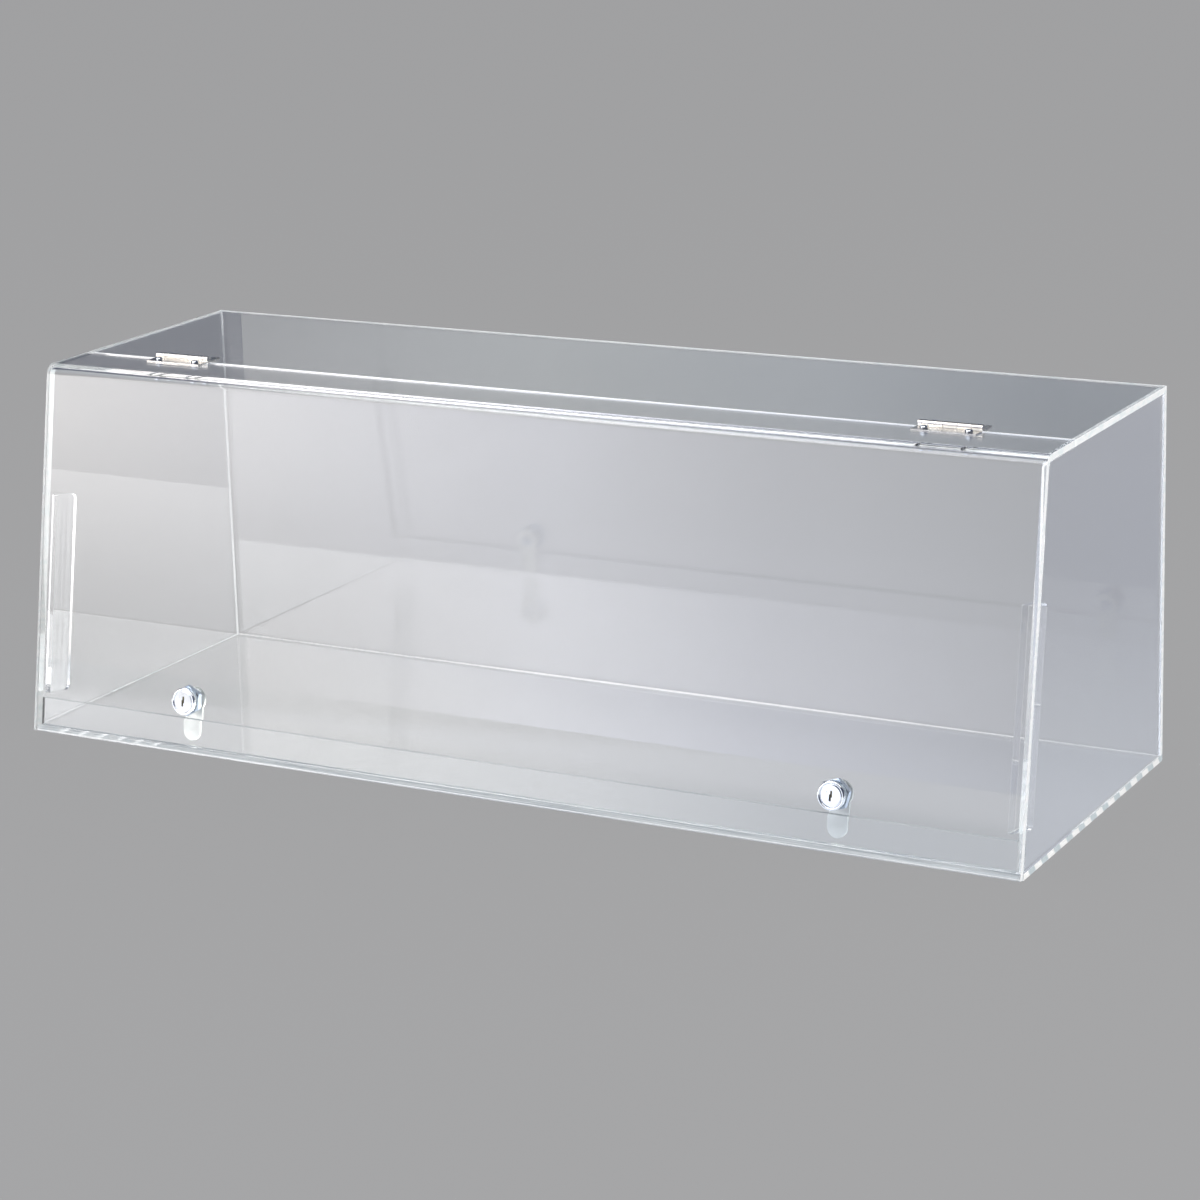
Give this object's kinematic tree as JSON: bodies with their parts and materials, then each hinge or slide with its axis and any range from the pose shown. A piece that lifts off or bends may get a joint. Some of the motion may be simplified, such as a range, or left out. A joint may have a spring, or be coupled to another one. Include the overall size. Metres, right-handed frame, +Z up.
{
  "type": "donation box",
  "caption": "Long clear case with a sloping front door, hinged along its top and fastened at the foot by cam locks.",
  "frame": {"origin": "middle of the underside of the case, on the surface that it stands on", "axes": "+X to the right seen from the front, +Y from the door to the back, +Z up"},
  "size_m": [0.87, 0.2997, 0.305],
  "materials": {
    "clear_acrylic": "gloss",
    "stainless_steel": "satin",
    "chrome_plate": "polished",
    "zinc_plate": "satin",
    "nickel_plate": "satin",
    "brass": "satin"
  },
  "bodies": {
    "case": {"base_panel": "clear_acrylic", "back_panel": "clear_acrylic", "top_panel": "clear_acrylic", "left_side_panel": "clear_acrylic", "right_side_panel": "clear_acrylic", "front_lip": "clear_acrylic", "left_case_leaf": "stainless_steel", "left_hinge_pin": "stainless_steel", "left_case_screws": "stainless_steel", "left_case_washers": "stainless_steel", "left_case_nuts": "stainless_steel", "right_case_leaf": "stainless_steel", "right_hinge_pin": "stainless_steel", "right_case_screws": "stainless_steel", "right_case_washers": "stainless_steel", "right_case_nuts": "stainless_steel"},
    "door": {"door_panel": "clear_acrylic", "left_guard_rib": "clear_acrylic", "right_guard_rib": "clear_acrylic", "left_door_leaf": "stainless_steel", "left_door_screws": "stainless_steel", "left_door_washers": "stainless_steel", "left_door_nuts": "stainless_steel", "left_lock_housing": "chrome_plate", "left_lock_nut": "zinc_plate", "right_door_leaf": "stainless_steel", "right_door_screws": "stainless_steel", "right_door_washers": "stainless_steel", "right_door_nuts": "stainless_steel", "right_lock_housing": "chrome_plate", "right_lock_nut": "zinc_plate"},
    "left_lock": {"left_lock_plug": "chrome_plate", "left_lock_wafers": "brass", "left_lock_cam": "nickel_plate", "left_cam_washer": "zinc_plate", "left_cam_screw": "zinc_plate"},
    "right_lock": {"right_lock_plug": "chrome_plate", "right_lock_wafers": "brass", "right_lock_cam": "nickel_plate", "right_cam_washer": "zinc_plate", "right_cam_screw": "zinc_plate"}
  },
  "joints": [
    {"name": "door_hinge", "type": "hinge", "parent": "case", "child": "door", "pos_m": [0, -0.044, 0.30255], "axis": [-1, 0, 0], "range_deg": [0, 165]},
    {"name": "left_lock_turn", "type": "hinge", "parent": "door", "child": "left_lock", "pos_m": [-0.286, -0.14285, 0.04289], "axis": [0, 0.9864, -0.1644], "range_deg": [0, 90]},
    {"name": "right_lock_turn", "type": "hinge", "parent": "door", "child": "right_lock", "pos_m": [0.286, -0.14285, 0.04289], "axis": [0, 0.9864, -0.1644], "range_deg": [0, 90]}
  ]
}
